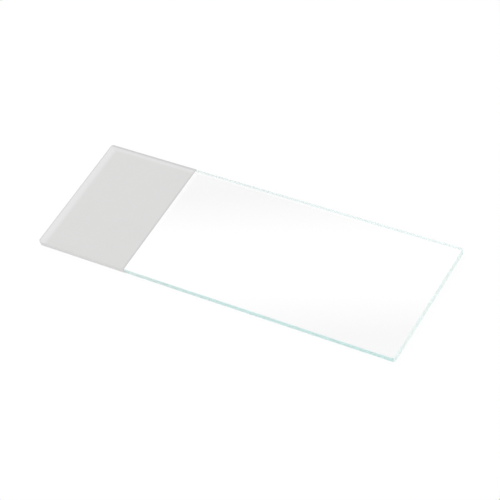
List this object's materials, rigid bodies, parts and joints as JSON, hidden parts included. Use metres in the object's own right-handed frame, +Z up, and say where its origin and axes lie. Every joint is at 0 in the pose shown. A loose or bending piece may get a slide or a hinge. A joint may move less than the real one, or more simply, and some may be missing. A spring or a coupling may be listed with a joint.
{
  "type": "microscope slide",
  "caption": "Thin rectangular plate of clear glass with ground, seamed edges and a matt grey marking coat over its end, for holding a specimen under a microscope.",
  "frame": {"origin": "centre of the glass underside, in the plane that the slide rests on", "axes": "+X along the slide, away from the marking end; +Z up, out of the face that carries the specimen"},
  "size_m": [0.075, 0.025, 0.0011],
  "materials": {
    "glass": "gloss",
    "marking_coat": "matte"
  },
  "bodies": {
    "root": {"glass_plate": "glass", "marking_coat": "marking_coat"}
  },
  "joints": []
}
